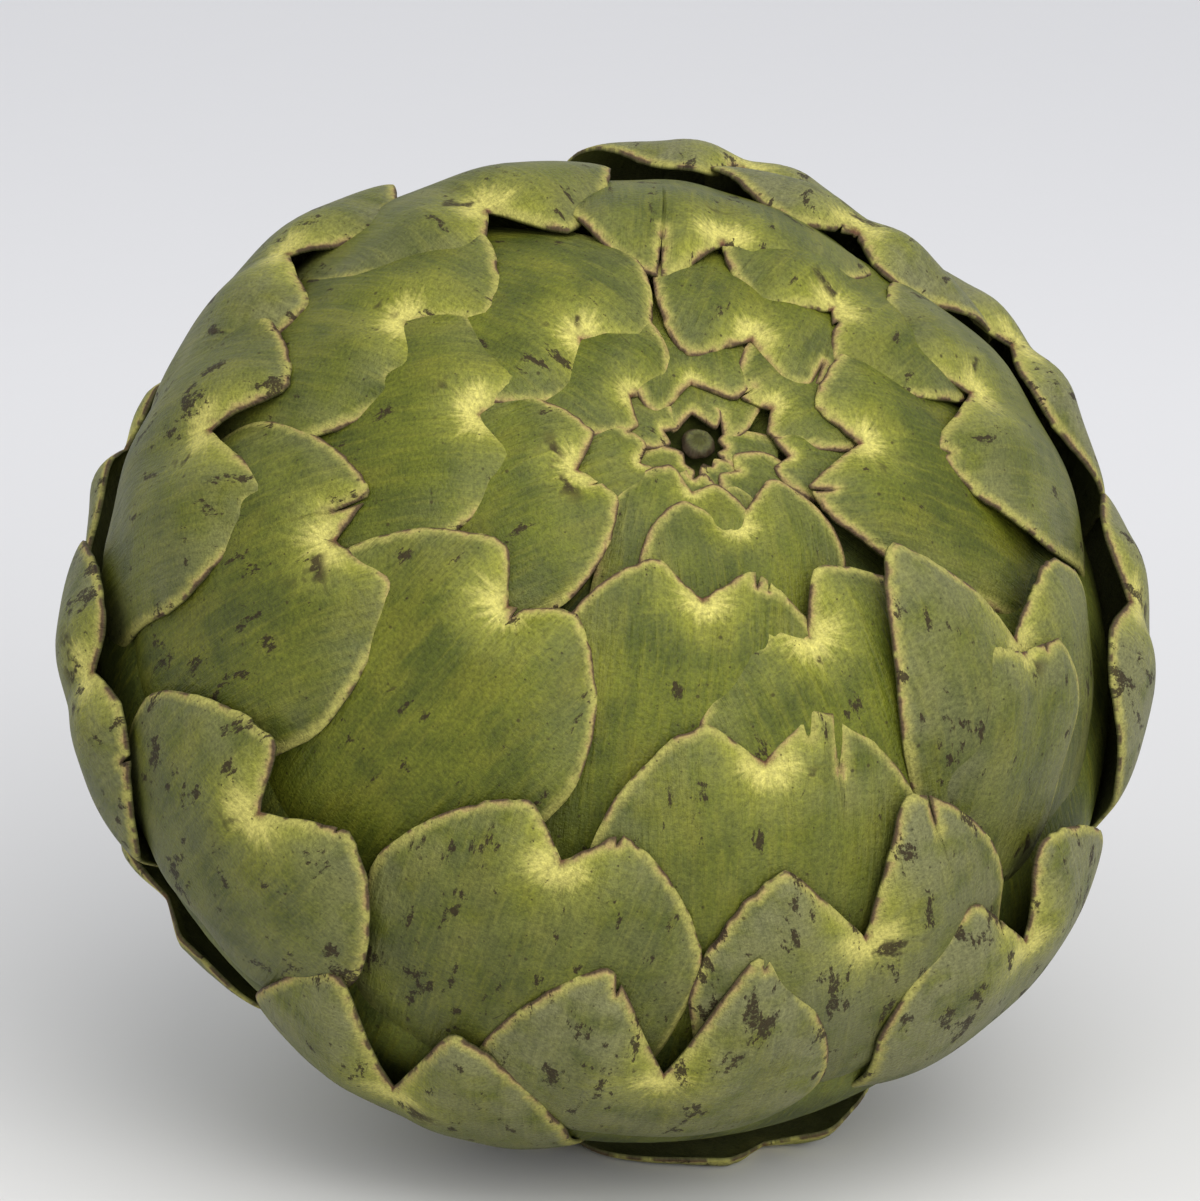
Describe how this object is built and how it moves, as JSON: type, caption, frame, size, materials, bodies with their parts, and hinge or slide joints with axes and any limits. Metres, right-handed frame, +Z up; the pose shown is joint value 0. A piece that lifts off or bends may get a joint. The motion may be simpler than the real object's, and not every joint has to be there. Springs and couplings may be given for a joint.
{
  "type": "artichoke",
  "caption": "Whole globe artichoke with broad notched overlapping bracts, lying tipped back on a short cut stem stub.",
  "frame": {"origin": "centre of the footprint on the surface that the artichoke lies on", "axes": "+Z up; the head's tip points to -Y and up, and the cut stem stub to +Y and down; X runs across the head"},
  "size_m": [0.1246, 0.1107, 0.1077],
  "materials": {
    "bracts": "satin plant skin, streaked olive green with pale notches and brown-edged rims",
    "stem": "matte ribbed green skin with a dry pale cut end"
  },
  "bodies": {
    "root": {"head": "bracts", "stem": "stem"}
  },
  "joints": []
}
